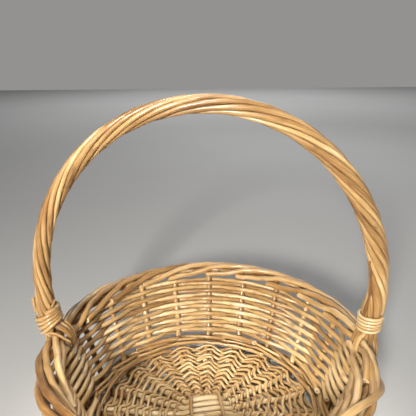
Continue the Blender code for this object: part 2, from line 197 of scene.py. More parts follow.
# ---- the border ---------------------------------------------------------
# A border rod's way through the border's section, as (stake steps run since
# the rod left its stake, offset out from the wall in mm, offset up the wall in mm).
BORDER_COURSE = np.array((
    (0.0, 0.0, -7.0), (0.5, 4.5, -4.6), (1.0, 8.8, -2.6), (1.4, 9.9, 0.3),
    (1.9, 8.0, 2.8), (2.5, 3.0, 3.6), (3.1, -2.4, 3.4), (3.6, -6.9, 1.6),
    (4.0, -9.4, -2.6), (4.4, -10.6, -7.8), (4.8, -10.6, -10.4), (5.2, -10.4, -11.4)))
STAKE_LEVELS = (0.25, 0.45, 0.65, 0.80)     # up the wall
BORDER_REACH = 5.12                 # stake steps that a border rod runs on
PRESS_WIDTH = 20 * MM               # the bow presses the border down this far around
PRESS_DEPTH = 2.0 * MM
SHADED_BORDER_ANGLE, SHADED_BORDER_WIDTH = 3.4, 0.6     # plan angle and width of the border rods on the left side, darkened as painted shade
SHADED_BORDER_TONE = 0.17
# Way of the loose border rod, as (plan angle, offset out, offset up) with offsets in mm.
LOOP_COURSE = ((-0.90, -8.0, 2.0), (-0.78, -4.0, 8.5), (-0.66, 0.0, 11.0), (-0.56, 5.0, 9.5),
               (-0.47, 10.0, 6.5), (-0.40, 13.3, 3.0), (-0.33, 14.6, -1.5),
               (-0.25, 13.5, -6.0), (-0.17, 11.0, -10.0), (-0.10, 8.0, -13.0))
# Border rods that lie off the usual way: (out, up) from it, in mm.
LOOSE = {15: (-2.0, 1.5), 16: (2.6, 1.0), 17: (-1.5, 2.4), 18: (-1.5, -0.5), 6: (0.5, 1.6)}


# ---- curves -------------------------------------------------------------
def unit(vectors):
    """Vectors scaled to length one."""
    return vectors / np.linalg.norm(vectors, axis=-1, keepdims=True)


def through(knots, values, at):
    """Smooth curve that passes through values at knots, read at other places."""
    knots = np.asarray(knots, float)
    values = np.asarray(values, float)
    slopes = np.gradient(values, knots, axis=0)
    spot = np.clip(np.searchsorted(knots, at, side="right") - 1, 0, len(knots) - 2)
    width = knots[spot + 1] - knots[spot]
    t = (at - knots[spot]) / width
    shape = (-1,) + (1,) * (values.ndim - 1)
    t, width = t.reshape(shape), width.reshape(shape)
    return (values[spot] * (2 * t ** 3 - 3 * t ** 2 + 1)
            + slopes[spot] * width * (t ** 3 - 2 * t ** 2 + t)
            + values[spot + 1] * (3 * t ** 2 - 2 * t ** 3)
            + slopes[spot + 1] * width * (t ** 3 - t ** 2))


def smooth(value):
    """Clamped smooth step from 0 to 1."""
    t = np.clip(value, 0.0, 1.0)
    return t * t * (3 - 2 * t)


def drift(rng, travel, wavelength):
    """Slow random wave of about unit size along a rod."""
    first, second = rng.uniform(0, TAU, 2)
    stretch = rng.uniform(0.85, 1.2)
    return (np.sin(TAU * travel / (wavelength * stretch) + first)
            + 0.6 * np.sin(TAU * travel / (wavelength * 0.47) + second)) / 1.3


def carried_normals(along):
    """Section normals carried along a path without twisting."""
    helper = UP if abs(along[0][2]) < 0.9 else np.array((1.0, 0.0, 0.0))
    normal = helper - along[0] * helper.dot(along[0])
    normals = []
    for direction in along:
        normal = normal - direction * normal.dot(direction)
        normal = normal / math.sqrt(normal.dot(normal))
        normals.append(normal)
    return np.array(normals)


# ---- willow materials ---------------------------------------------------
class Shading:
    """Short hand for one material's node tree."""

    def __init__(self, name):
        self.material = bpy.data.materials.new(name)
        self.material.use_nodes = True
        self.tree = self.material.node_tree
        self.shader = self.tree.nodes["Principled BSDF"]

    def node(self, kind, **settings):
        made = self.tree.nodes.new(kind)
        for key, value in settings.items():
            setattr(made, key, value)
        return made

    def put(self, target, source):
        """Links an output to an input, or sets the input's value."""
        if isinstance(source, bpy.types.NodeSocket):
            self.tree.links.new(source, target)
        else:
            target.default_value = source

    def attribute(self, name, output):
        return self.node("ShaderNodeAttribute", attribute_name=name).outputs[output]

    def math(self, operation, first, second=0.0, third=0.0):
        made = self.node("ShaderNodeMath", operation=operation)
        for target, source in zip(made.inputs, (first, second, third)):
            self.put(target, source)
        return made.outputs["Value"]

    def stretched(self, vector, across, along):
        made = self.node("ShaderNodeMapping")
        self.put(made.inputs["Vector"], vector)
        made.inputs["Scale"].default_value = (across, across, along)
        return made.outputs["Vector"]

    def noise(self, vector, detail=2.0, roughness=0.5):
        made = self.node("ShaderNodeTexNoise")
        self.put(made.inputs["Vector"], vector)
        made.inputs["Scale"].default_value = 1.0
        made.inputs["Detail"].default_value = detail
        made.inputs["Roughness"].default_value = roughness
        return made.outputs["Fac"]

    def ramp(self, factor, stops):
        made = self.node("ShaderNodeValToRGB")
        self.put(made.inputs["Fac"], factor)
        elements = made.color_ramp.elements
        while len(elements) < len(stops):
            elements.new(0.5)
        for element, (place, colour) in zip(elements, stops):
            element.position = place
            element.color = (*colour, 1.0)
        return made.outputs["Color"]

    def band(self, factor, low, high):
        """0 below low, 1 above high."""
        made = self.node("ShaderNodeMapRange", interpolation_type="SMOOTHSTEP")
        self.put(made.inputs["Value"], factor)
        made.inputs["From Min"].default_value = low
        made.inputs["From Max"].default_value = high
        return made.outputs["Result"]

    def mix(self, factor, first, second):
        made = self.node("ShaderNodeMix", data_type="RGBA")
        self.put(made.inputs[0], factor)
        for target, source in ((made.inputs[6], first), (made.inputs[7], second)):
            if isinstance(source, tuple):
                source = (*source, 1.0)
            self.put(target, source)
        return made.outputs[2]

    def relief(self, height, strength, distance):
        """Fine surface relief from a height."""
        bump = self.node("ShaderNodeBump")
        bump.inputs["Strength"].default_value = strength
        bump.inputs["Distance"].default_value = distance
        self.put(bump.inputs["Height"], height)
        self.put(self.shader.inputs["Normal"], bump.outputs["Normal"])


def willow(name, shades, roughness, coat):
    """Peeled, varnished willow: streaked along the rod, blotched and scarred, with painted shade
    in the creases between rods.
    """
    s = Shading(name)
    grain = s.attribute("grain", "Vector")
    tone = s.attribute("tone", "Fac")
    scar = s.attribute("scar", "Fac")
    fibres = s.noise(s.stretched(grain, *FIBRES), 3.0, 0.6)
    streaks = s.noise(s.stretched(grain, *STREAKS), 2.0)
    blotches = s.noise(s.stretched(grain, *BLOTCHES), 3.0, 0.6)
    stains = s.noise(s.stretched(grain, *STAINS), 2.0)
    level = s.math("MULTIPLY_ADD", blotches, BLOTCH_SHARE, tone)
    level = s.math("MULTIPLY_ADD", streaks, STREAK_SHARE, level)
    level = s.math("MULTIPLY_ADD", fibres, FIBRE_SHARE, level)
    level = s.math("SUBTRACT", level, 0.80)
    colour = s.ramp(level, shades)
    stained = s.math("MULTIPLY", s.band(stains, 0.63, 0.74), 0.6)
    colour = s.mix(stained, colour, STAIN_COLOUR)
    colour = s.mix(s.math("MULTIPLY", scar, 0.75), colour, SCAR_COLOUR)
    # Painted shade: ambient occlusion darkens the colour towards a dark brown where rods lie
    # close together, in the creases and gaps between them; the roughness rises there too.
    near = s.node("ShaderNodeAmbientOcclusion", samples=6)
    near.inputs["Distance"].default_value = PAINTED_SHADE_REACH
    crevice_shade = s.band(near.outputs["AO"], 0.78, 0.08)
    colour = s.mix(s.math("MULTIPLY", crevice_shade, 0.8), colour, PAINTED_SHADE_COLOUR)
    s.put(s.shader.inputs["Base Color"], colour)
    worn = s.math("MULTIPLY_ADD", blotches, 0.22, roughness - 0.11)
    worn = s.math("MULTIPLY_ADD", crevice_shade, 0.25, worn)
    s.put(s.shader.inputs["Roughness"], worn)
    s.put(s.shader.inputs["Coat Weight"], coat)
    s.put(s.shader.inputs["Coat Roughness"], 0.18)
    s.put(s.shader.inputs["Sheen Weight"], 0.06)
    s.relief(s.math("MULTIPLY_ADD", streaks, 1.6, fibres), 0.55, 0.22 * MM)
    return s.material


def cut_wood(name):
    """End grain of a cut rod: pale wood round a brown pith."""
    s = Shading(name)
    grain = s.attribute("grain", "Vector")
    rings = s.noise(s.stretched(grain, 2400.0, 300.0), 3.0)
    flat = s.node("ShaderNodeVectorMath", operation="MULTIPLY")
    s.put(flat.inputs[0], grain)
    flat.inputs[1].default_value = (1.0, 1.0, 0.0)
    reach = s.node("ShaderNodeVectorMath", operation="LENGTH")
    s.put(reach.inputs[0], flat.outputs["Vector"])
    pith = s.band(reach.outputs["Value"], *PITH_EDGE)
    colour = s.mix(pith, s.ramp(rings, FRESH_CUT), PITH_COLOUR)
    s.put(s.shader.inputs["Base Color"], colour)
    s.put(s.shader.inputs["Roughness"], s.math("MULTIPLY_ADD", rings, 0.3, 0.45))
    s.relief(rings, 0.6, 0.15 * MM)
    return s.material


# Colour ramps from dark to light willow.
HONEY = ((0.0, (0.16, 0.070, 0.020)), (0.3, (0.33, 0.175, 0.055)),
         (0.6, (0.52, 0.32, 0.125)), (1.0, (0.79, 0.60, 0.34)))
BUFF = ((0.0, (0.18, 0.085, 0.026)), (0.3, (0.38, 0.215, 0.075)),
        (0.6, (0.58, 0.385, 0.165)), (1.0, (0.86, 0.69, 0.42)))
AMBER = ((0.0, (0.18, 0.082, 0.024)), (0.3, (0.38, 0.212, 0.072)),
         (0.6, (0.58, 0.375, 0.158)), (1.0, (0.87, 0.70, 0.43)))

finishes = {
    "willow_stick": willow("willow_stick", BUFF, 0.38, 0.40),
    "willow_stake": willow("willow_stake", HONEY, 0.38, 0.40),
    "willow_weaver": willow("willow_weaver", BUFF, 0.38, 0.45),
    "willow_handle": willow("willow_handle", AMBER, 0.34, 0.50),
    "willow_binding": willow("willow_binding", BUFF, 0.26, 0.80),
}
end_grain = cut_wood("willow_cut")


# ---- rods ---------------------------------------------------------------
def rod_line(rng, points, radius, up, step, wobble):
    """Even stations along a rod, which drifts a little from its points.

    Returns the distances travelled, the points, the directions along, to the
    side and to the top of the section, and the radii.
    """
    sizes = np.atleast_1d(np.asarray(radius, float))
    if len(sizes) < len(points):
        sizes = np.linspace(sizes[0], sizes[-1], len(points))
    chords = np.linalg.norm(np.diff(points, axis=0), axis=1)
    marks = np.concatenate(([0.0], np.cumsum(chords)))
    length = marks[-1]
    travel = np.linspace(0.0, length, max(4, int(length / step) + 1))
    path = through(marks, points, travel)
    sizes = np.interp(travel, marks, sizes)
    along = unit(np.gradient(path, axis=0))
    if up is None:
        normal = carried_normals(along)
    else:
        normal = through(marks, up, travel)
        normal = unit(normal - along * np.sum(normal * along, axis=1, keepdims=True))
    side = np.cross(normal, along)
    settle = smooth(travel / SETTLED) * smooth((length - travel) / SETTLED)
    path = path + side * (drift(rng, travel, 46 * MM) * wobble * settle)[:, None]
    path = path + normal * (drift(rng, travel, 57 * MM) * wobble * settle)[:, None]
    return travel, path, along, side, normal, sizes


def knotty_rings(rng, travel, sizes, angles, scars):
    """Radii round a rod at each station, and how much of a scar each spot is."""
    lean = rng.uniform(0, TAU)
    thickness = 1 + 0.035 * drift(rng, travel, 70 * MM) + 0.02 * drift(rng, travel, 21 * MM)
    section = 1 + OVAL * np.cos(2 * (angles - lean))
    rings = (sizes * thickness)[:, None] * section[None, :]
    scar = np.zeros_like(rings)
    place = rng.uniform(*FIRST_KNOT)
    while scars and place < travel[-1] - END_CLEARANCE:
        facing = rng.uniform(0, TAU)
        swell = np.exp(-((travel - place) / KNOT_LENGTH) ** 2)
        turn = np.abs((angles - facing + math.pi) % TAU - math.pi)
        spot = swell[:, None] * np.exp(-(turn / KNOT_WIDTH) ** 2)[None, :]
        rings = rings * (1 + KNOT_SWELL * swell[:, None] + KNOT_BUMP * spot)
        scar = np.maximum(scar, spot)
        place += rng.uniform(*KNOT_GAPS)
    return rings, scar


def tube_faces(rings, sides):
    """Faces of a tube of vertex rings, open at both ends."""
    faces = []
    for ring in range(rings - 1):
        for k in range(sides):
            a = ring * sides + k
            b = ring * sides + (k + 1) % sides
            faces.append((a, b, b + sides, a + sides))
    return faces


def cut_faces(edge, first, sides, way):
    """Faces of a cut end: two rings inside the tube's edge and a middle point."""
    faces = []
    for k in range(sides):
        n = (k + 1) % sides
        for low, high in ((edge, first), (first, first + sides)):
            faces.append((low + k, low + n, high + n, high + k))
        faces.append((first + sides + k, first + sides + n, first + 2 * sides))
    if way < 0:
        faces = [face[::-1] for face in faces]
    return faces


def store(mesh, name, kind, key, values):
    """Values at the vertices, which the materials read."""
    made = mesh.attributes.new(name, kind, "POINT")
    made.data.foreach_set(key, values.astype(np.float32).ravel())


def rod(name, points, radius, slot, nodes, up=None, flat=1.0, tone=0.5, step=2.4 * MM,
        sides=12, wobble=0.25 * MM, slants=(0.0, 0.0), scars=True, tone_spread=0.15):
    """One willow rod swept along points, riding on the basket.

    radius is one size, one for each end, or one for each point.  flat squeezes
    the section along the up vectors.  slants tilt the cut faces at the two
    ends.  tone sets how light the rod is, within a random spread.
    """
    rng = np.random.default_rng(zlib.crc32(name.encode()))
    points = np.asarray(points, float)
    travel, path, along, side, normal, sizes = rod_line(rng, points, radius, up, step, wobble)
    path[:, 2] = np.maximum(path[:, 2], sizes * flat * 1.08 + FLOOR_GAP)

    angles = TAU * np.arange(sides) / sides
    rings, scar = knotty_rings(rng, travel, sizes, angles, scars)
    across, high = rings * np.cos(angles), rings * np.sin(angles)
    offsets = (side[:, None, :] * across[:, :, None]
               + normal[:, None, :] * (high * flat)[:, :, None])
    body = path[:, None, :] + offsets
    grain = np.stack((across, high, np.broadcast_to(travel[:, None], rings.shape)), axis=-1)

    faces = tube_faces(len(travel), sides)
    tube_count = len(faces)
    vertex_count = len(travel) * sides
    cut_points, cut_grain = [], []
    for last, way, slant in ((0, -1, slants[0]), (len(travel) - 1, 1, slants[1])):
        shear = slant * offsets[last] @ unit(side[last] + 0.6 * normal[last])
        reach = 1.6 * sizes[last] * max(abs(slant), 0.01)
        fade = np.clip(1 - np.abs(travel - travel[last]) / reach, 0, 1)
        body = body + (fade[:, None] * shear[None, :])[:, :, None] * along[last]
        centre = path[last] + along[last] * way * 0.10 * sizes[last]
        rim = offsets[last] + shear[:, None] * along[last]
        for share in CUT_RINGS:
            cut_points.append(centre + rim * share)
            cut_grain.append(np.column_stack((grain[last, :, :2] * share, grain[last, :, 2])))
        cut_points.append((centre - along[last] * way * 0.05 * sizes[last])[None, :])
        cut_grain.append(np.array(((0.0, 0.0, travel[last]),)))
        faces += cut_faces(last * sides, vertex_count, sides, way)
        vertex_count += 2 * sides + 1

    mesh = bpy.data.meshes.new(name)
    mesh.from_pydata(np.concatenate([body.reshape(-1, 3)] + cut_points), [], faces)
    mesh.shade_smooth()
    mesh.set_sharp_from_angle(angle=SHARP_ANGLE)
    mesh.materials.append(finishes[slot])
    mesh.materials.append(end_grain)
    slots = np.zeros(len(faces), np.int32)
    slots[tube_count:] = 1
    mesh.polygons.foreach_set("material_index", slots)
    grain = np.concatenate([grain.reshape(-1, 3)] + cut_grain)
    store(mesh, "grain", "FLOAT_VECTOR", "vector", grain + np.array((0, 0, rng.uniform(0, 40))))
    marks = np.zeros(vertex_count)
    marks[:scar.size] = scar.ravel()
    store(mesh, "scar", "FLOAT", "value", marks)
    own_tone = tone + rng.normal(0, tone_spread)
    store(mesh, "tone", "FLOAT", "value", np.full(vertex_count, own_tone))

    piece = bpy.data.objects.new(name, mesh)
    bpy.context.scene.collection.objects.link(piece)
    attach(piece, "root")
    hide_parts(*nodes)
    return piece


# ---- plan and wall ------------------------------------------------------
def base_edge(angle):
    """Point of the base's edge."""
    return np.array((BASE_AX * math.cos(angle), BASE_SHIFT + BASE_AY * math.sin(angle), BASE_Z))


def rim_edge(angle):
    """Point of the rim's line."""
    return np.array((RIM_AX * math.cos(angle), RIM_AY * math.sin(angle), BORDER_Z))


def wall_axes(angle):
    """Outward normal and upward direction of the sloping wall."""
    low, high = base_edge(angle), rim_edge(angle)
    rise = unit(high - low)
    outward = unit(np.array((math.cos(angle) / RIM_AX, math.sin(angle) / RIM_AY, 0.0)))
    return unit(outward - rise * outward.dot(rise)), rise


def wall_point(angle, level, offset=0.0, shift=0.0):
    """Point on the wall line at a fraction of its length."""
    low, high = base_edge(angle), rim_edge(angle)
    normal, rise = wall_axes(angle)
    return low + (high - low) * level + normal * offset + rise * shift


def stake_angle(index):
    """Plan angle of one stake."""
    return STAKE_START + STAKE_STEP * index


# ---- base ---------------------------------------------------------------
def base_point(angle, radius, sideways, z):
    """Point of the base at a nominal radius, moved sideways along the round."""
    along = np.array((math.cos(angle), math.sin(angle), 0.0))
    across = np.array((-along[1], along[0], 0.0))
    share = radius / BASE_AX
    centre = np.array((0.0, BASE_SHIFT + SLATH_SHIFT * (1 - share), 0.0))
    edge = np.array((BASE_AX * math.cos(angle), BASE_AY * math.sin(angle), 0.0))
    point = centre + edge * share + across * sideways
    return np.array((point[0], point[1], z))


def base_height(radius):
    """Mid height of the base, crowned a little towards the slath."""
    return SLATH_Z + (BASE_Z - SLATH_Z) * float(smooth(radius / BASE_FLAT_FROM))


def stick_shift(radius):
    """Sideways place of a base stick, making room for its stake."""
    return -SIDE_BY_SIDE * float(smooth((radius - 68 * MM) / (24 * MM)))


def base_stick(name, row, rows, height, half_block, spread, turn):
    """One base stick: straight through the slath, fanned out at both ends."""
    lane = (row - (rows - 1) / 2) * STICK_PITCH
    arms = []
    for end in (0, 1):
        facing = turn + math.pi * end
        side = 1 if end == 0 else -1
        along = np.array((math.cos(facing), math.sin(facing), 0.0))
        across = np.array((-along[1], along[0], 0.0))
        fan = facing + side * (row - (rows - 1) / 2) * STAKE_STEP
        start = SLATH_CENTRE + along * half_block + across * lane * side
        out = start + along * spread
        aim = base_point(fan, FAN_RADIUS, 0.0, 0.0)
        pull = aim - np.array((math.cos(fan), math.sin(fan), 0.0)) * spread
        arm = [np.array((start[0], start[1], height))]
        for step in (0.25, 0.5, 0.75, 1.0):
            back = 1 - step
            place = (start * back ** 3 + out * (3 * back ** 2 * step)
                     + pull * (3 * back * step ** 2) + aim * step ** 3)
            settled = float(smooth(step / 0.75))
            reach = np.linalg.norm(place - SLATH_CENTRE)
            level = height + (base_height(reach) - height) * settled
            arm.append(np.array((place[0], place[1], level)))
        for radius in STICK_STATIONS:
            arm.append(base_point(fan, radius, stick_shift(radius), base_height(radius)))
        arms.append(arm)
    points = list(reversed(arms[1])) + arms[0]
    return rod(name, points, (STICK_RADIUS * 1.06, STICK_RADIUS * 0.98), "willow_stick", (name,),
               up=[UP] * len(points), flat=0.9, tone=0.58, wobble=0.15 * MM)


def build_base_sticks():
    """Slath of long sticks lying over cross sticks."""
    long_block = CROSS_STICKS * STICK_PITCH / 2
    cross_block = LONG_STICKS * STICK_PITCH / 2
    for row in range(LONG_STICKS):
        base_stick(f"base_stick_long_{row + 1}", row, LONG_STICKS, SLATH_Z + SLATH_LAYER,
                   long_block, 7 * MM, SLATH_TURN)
    for row in range(CROSS_STICKS):
        base_stick(f"base_stick_cross_{row + 1}", row, CROSS_STICKS, SLATH_Z - SLATH_LAYER,
                   cross_block, 4 * MM, SLATH_TURN + math.pi / 2)


def stroke_spots(radius):
    """Sideways places where a weaver lies over or under a stick end."""
    if radius > STAKE_INNER - 5 * MM:
        reach = SIDE_BY_SIDE + 0.6 * MM
        return (-reach, 0.0, reach)
    return (stick_shift(radius),)


def pairing_course(first, last, start_over):
    """Way of one pairing weaver between two stroke numbers."""
    rng = np.random.default_rng(first + 5 * start_over)
    points = []
    for index in range(first, last + 1):
        over = (index % 2 == 0) == start_over
        angle = stake_angle(index) + rng.normal(0, PAIR_JITTER[0])
        radius = PAIR_FIRST + PAIR_PITCH * index / STAKE_COUNT + rng.normal(0, PAIR_JITTER[1])
        side = 1 if over else -1
        level = base_height(radius)
        for spot in stroke_spots(radius):
            points.append(base_point(angle, radius, spot, level + side * BASE_LIFT))
        if index < last:
            sag = side * PAIR_PITCH / 4 - PAIR_DIP * radius * rng.uniform(*PAIR_SAGS)
            for share, deep, lift in PAIR_COURSE:
                points.append(base_point(angle + STAKE_STEP * share, radius + sag * deep, 0.0,
                                         level + side * lift * BASE_LIFT))
    return points


def build_base_weavers():
    """Pairing rods of the base, each running on for a few rounds."""
    total = PAIR_ROUNDS * STAKE_COUNT
    for pair, start_over in ((1, True), (2, False)):
        breaks = (0, *PAIR_BREAKS[pair], total)
        for part, (first, last) in enumerate(zip(breaks, breaks[1:])):
            points = pairing_course(first, last, start_over)
            slim = 0.86 if part == 0 else 1.0
            rod(f"base_rod_{pair}_{part + 1}", points,
                (BASE_WEAVER_RADIUS * slim, BASE_WEAVER_RADIUS), "willow_weaver",
                (f"base_weaver_{pair}",), up=[UP] * len(points), flat=BASE_WEAVER_FLAT,
                tone=0.56, tone_spread=0.05, step=2.0 * MM, sides=10, wobble=0.12 * MM)


def slath_binding(name, over_long, corner):
    """Rod that binds the slath: over one group of sticks, under the other."""
    half_x = CROSS_STICKS * STICK_PITCH / 2 + BASE_WEAVER_RADIUS
    half_y = LONG_STICKS * STICK_PITCH / 2 + BASE_WEAVER_RADIUS
    side = 1 if over_long else -1
    long_z = SLATH_Z + SLATH_LAYER + side * BASE_LIFT
    cross_z = SLATH_Z - SLATH_LAYER - side * BASE_LIFT
    points = []
    for quarter in range(4):
        near, far = (half_x, half_y) if quarter % 2 == 0 else (half_y, half_x)
        level = long_z if quarter % 2 == 0 else cross_z
        turn = SLATH_TURN + quarter * math.pi / 2
        spin = np.array(((math.cos(turn), -math.sin(turn), 0.0),
                         (math.sin(turn), math.cos(turn), 0.0), (0.0, 0.0, 1.0)))
        reach = far - 1.5 * MM
        for across in (-reach, 0.0, reach):
            points.append(SLATH_CENTRE + spin @ np.array((near, across, level)))
        points.append(SLATH_CENTRE + spin @ np.array((near + corner, far + corner, SLATH_Z)))
    points.append(points[0] + (points[-1] - points[0]) * 0.12)
    return rod(name, points, BASE_WEAVER_RADIUS, "willow_weaver", (name,), up=[UP] * len(points),
               flat=BASE_WEAVER_FLAT, tone=0.42, step=1.6 * MM, sides=10, wobble=0.1 * MM)


# ---- side and border ----------------------------------------------------
def border_point(angle, phase, wide_extra=0.0, high_extra=0.0):
    """World point of a border rod at a plan angle and phase.

    The border is pressed down a little where the bow goes through it.
    """
    wide, high = through(BORDER_COURSE[:, 0], BORDER_COURSE[:, 1:], np.array((phase,)))[0] * MM
    from_foot = RIM_AX * abs((angle + math.pi / 2) % math.pi - math.pi / 2)
    near = math.exp(-(from_foot / PRESS_WIDTH) ** 2)
    high -= PRESS_DEPTH * near
    wide += np.interp(phase, (2.8, 3.4, 5.2), (0.0, 8.0, 8.0)) * MM * near
    return wall_point(angle, 1.0, wide + wide_extra, high + high_extra)


def stake(index):
    """Side stake: from the base edge up the wall and along the border."""
    name = f"side_stake_{index + 1:02d}"
    rng = np.random.default_rng(700 + index)
    angle = stake_angle(index)
    points = [
        base_point(angle, STAKE_INNER, SIDE_BY_SIDE, BASE_Z),
        base_point(angle, 110 * MM, SIDE_BY_SIDE, BASE_Z),
        base_point(angle, 121 * MM, SIDE_BY_SIDE, BASE_Z),
        base_point(angle, 128 * MM, 0.5 * SIDE_BY_SIDE, BASE_Z + 0.5 * MM),
        wall_point(angle, 0.035, -1.0 * MM),
        wall_point(angle, 0.085),
    ]
    sizes = [STAKE_BUTT] * len(points)
    for level in STAKE_LEVELS:
        points.append(wall_point(angle, level))
        sizes.append(STAKE_BUTT - 0.25 * MM * level)
    points.append(wall_point(angle, 0.875))
    points.append(wall_point(angle + 0.02 * STAKE_STEP, 1.0, 0.2 * MM, -9.2 * MM))
    points.append(wall_point(angle + 0.12 * STAKE_STEP, 1.0, 0.8 * MM, -6.6 * MM))
    sizes += [STAKE_BORDER] * 3
    reach = BORDER_REACH + rng.uniform(-0.12, 0.12)
    wide_extra, high_extra = rng.normal(0, 0.6 * MM, 2) + np.array(LOOSE.get(index, (0, 0))) * MM
    phases = np.arange(0.4, reach, 0.2)
    for phase in list(phases) + [reach]:
        spread = min(1.0, phase)
        points.append(border_point(angle + phase * STAKE_STEP, phase,
                                   wide_extra * spread, high_extra * spread))
        run = phase / reach
        sizes.append(STAKE_BORDER + (STAKE_TIP - STAKE_BORDER) * run ** 1.5)
    # Painted shade: border rods round the left side get a darker tone, as that side of the rim
    # lies in shade.
    from_shaded_border = angle + 1.5 * STAKE_STEP - SHADED_BORDER_ANGLE
    border_shade = SHADED_BORDER_TONE * math.exp(-(from_shaded_border / SHADED_BORDER_WIDTH) ** 2)
    return rod(name, points, sizes, "willow_stake", (name,), tone=0.50 - border_shade, sides=14,
               wobble=0.5 * MM, slants=(0.0, rng.uniform(-0.5, 0.5)))


def upright_angles(index):
    """Plan angles where a weaver turns round one upright."""
    angle = stake_angle(index)
    if index % (STAKE_COUNT // 2) == 0:
        return (angle - FOOT_TO_STAKE, angle)
    return (angle,)


def randing_course(lag, start_outside, first, last):
    """Way of a chasing weaver between two stake numbers."""
    rows = 2 * RANDING_TURNS + 1
    row_level = (RANDING_HIGH - RANDING_LOW) / rows
    points = []
    for index in range(first, last + 1):
        outside = (index % 2 == 0) == start_outside
        for angle in upright_angles(index):
            level = RANDING_LOW + row_level * (2 * angle / TAU + lag)
            offset = WALL_OFFSET if outside else -WALL_OFFSET
            points.append(wall_point(angle, level, offset))
    return points


def build_side_weavers():
    """Randing of the side: long rods that follow each other up the wall."""
    total = RANDING_TURNS * STAKE_COUNT
    for chaser, lag, start_outside in ((1, 0, True), (2, 1, False)):
        first = 0
        part = 0
        while first < total:
            part += 1
            last = min(total, first + WEAVER_STROKES + 3 * chaser + (7 * part) % 5)
            if total - last < LEAST_STROKES:
                last = total
            inside_start = (last % 2 == 0) == start_outside
            if inside_start and last < total:
                last += 1
            points = randing_course(lag, start_outside, first, last)
            rod(f"side_rod_{chaser}_{part}", points,
                (WEAVER_RADIUS * 1.06, WEAVER_RADIUS * 0.92), "willow_weaver",
                (f"side_weaver_{chaser}",), tone=0.52, wobble=0.3 * MM)
            first = last


def filler_rod():
    """Short weaver that fills the wedge between the wale and the first row."""
    points = []
    for index in FILLER_STAKES:
        offset = WALL_OFFSET if index % 2 else -WALL_OFFSET
        level = FILLER_LOW + FILLER_RISE * (index - FILLER_STAKES[0])
        points.append(wall_point(stake_angle(index), level, offset))
    rod("side_rod_filler", points, (WEAVER_RADIUS, 0.8 * WEAVER_RADIUS), "willow_weaver",
        ("side_weaver_1",), tone=0.52, wobble=0.3 * MM)


def wale_rod(index):
    """One of three upsett rods: outside two stakes, then inside one, for two rounds."""
    name = f"upsett_rod_{index + 1}"
    points = []
    steps = 2 * WALE_ROUNDS * STAKE_COUNT
    for half_step in range(steps + 1):
        travelled = half_step / 2
        angle = STAKE_START + STAKE_STEP * travelled
        turn = TAU * (travelled + index) / 3
        offset = WALL_OFFSET * min(1.0, 0.5 - 1.5 * math.cos(turn))
        level = WALE_LOW + (WALE_HIGH - WALE_LOW) * half_step / steps
        points.append(wall_point(angle, level, offset, 1.6 * MM * math.sin(turn)))
    return rod(name, points, (WALE_BUTT, WALE_TIP), "willow_weaver", (name,), tone=0.42)


def corner_rods():
    """Thin rods worked in where the base turns up into the side, their butts inside."""
    rng = np.random.default_rng(12)
    for index in range(CORNER_RODS):
        start = TAU * index / CORNER_RODS + rng.uniform(-0.1, 0.1)
        spread = rng.uniform(1.3, 1.5)
        inset = 1.8 * MM * (index % 3)
        points = []
        for share in np.linspace(0.0, 1.0, 15):
            angle = start + spread * share
            wave = 1.2 * MM * math.sin(7 * angle + index)
            radius = CORNER_REACH - inset + 3.0 * MM * share + wave
            height = CORNER_LEVEL + inset * 0.6 + 6.0 * MM * share
            points.append(base_point(angle, radius, 0.0, height))
        rod(f"corner_rod_{index + 1}", points, (2.2 * MM, 1.5 * MM), "willow_weaver",
            (f"upsett_rod_{index % 3 + 1}",), tone=0.36, wobble=0.5 * MM, slants=(0.8, 0.5))


def upsett_butts():
    """Thick butts of the upsett rods, which end inside the foot of the wall."""
    rng = np.random.default_rng(5)
    for index in range(UPSETT_BUTTS):
        start = STAKE_START + TAU * (index + rng.uniform(-0.2, 0.2)) / UPSETT_BUTTS
        level = rng.uniform(0.10, 0.14)
        points = []
        for share in np.linspace(0.0, 1.0, 6):
            offset = -WALL_OFFSET - (1.8 - 5.0 * share) * MM
            points.append(wall_point(start + BUTT_SPAN * share, level + 0.03 * share, offset))
        rod(f"upsett_butt_{index + 1}", points, (3.1 * MM, 2.3 * MM), "willow_weaver",
            (f"upsett_rod_{index % 3 + 1}",), tone=0.6, slants=(0.7, 0.0))


def border_stub():
    """Cut end of a border rod that lies on top of the others at the right front."""
    points = []
    for share in np.linspace(0.0, 1.0, 7):
        points.append(wall_point(-0.12 - 0.27 * share, 1.0, (-3.0 + 1.5 * share) * MM,
                                 (6.0 - 3.0 * (2 * share - 1) ** 2) * MM))
    rod("border_stub", points, (3.6 * MM, 3.5 * MM), "willow_stake", ("side_stake_20",),
        tone=0.6, slants=(0.0, 0.3))


def border_loop():
    """Border rod that was laid loosely: over the others and round their outside."""
    points = [wall_point(angle, 1.0, out * MM, up * MM) for angle, out, up in LOOP_COURSE]
    rod("border_loop", points, (3.7 * MM, 3.3 * MM), "willow_stake", ("side_stake_19",),
        tone=0.6, slants=(0.4, 0.4))


# ---- handle -------------------------------------------------------------
def handle_line(side):
    """Right or left half of the bow's centre line, from foot to top."""
    angle = 0.0 if side > 0 else math.pi
    points = [wall_point(angle, CORE_FOOT_LEVEL), wall_point(angle, 0.6), wall_point(angle, 0.8)]
    for out, level in BOW_FOOT[side]:
        points.append(np.array((side * out * MM, 0.0, level * MM)))
    for step in range(12):
        turn = math.pi / 2 * step / 12
        points.append(np.array((side * HANDLE_HALF_SPAN * math.cos(turn), 0.0,
                                HANDLE_SPRING_Z + HANDLE_RISE * math.sin(turn))))
    return points


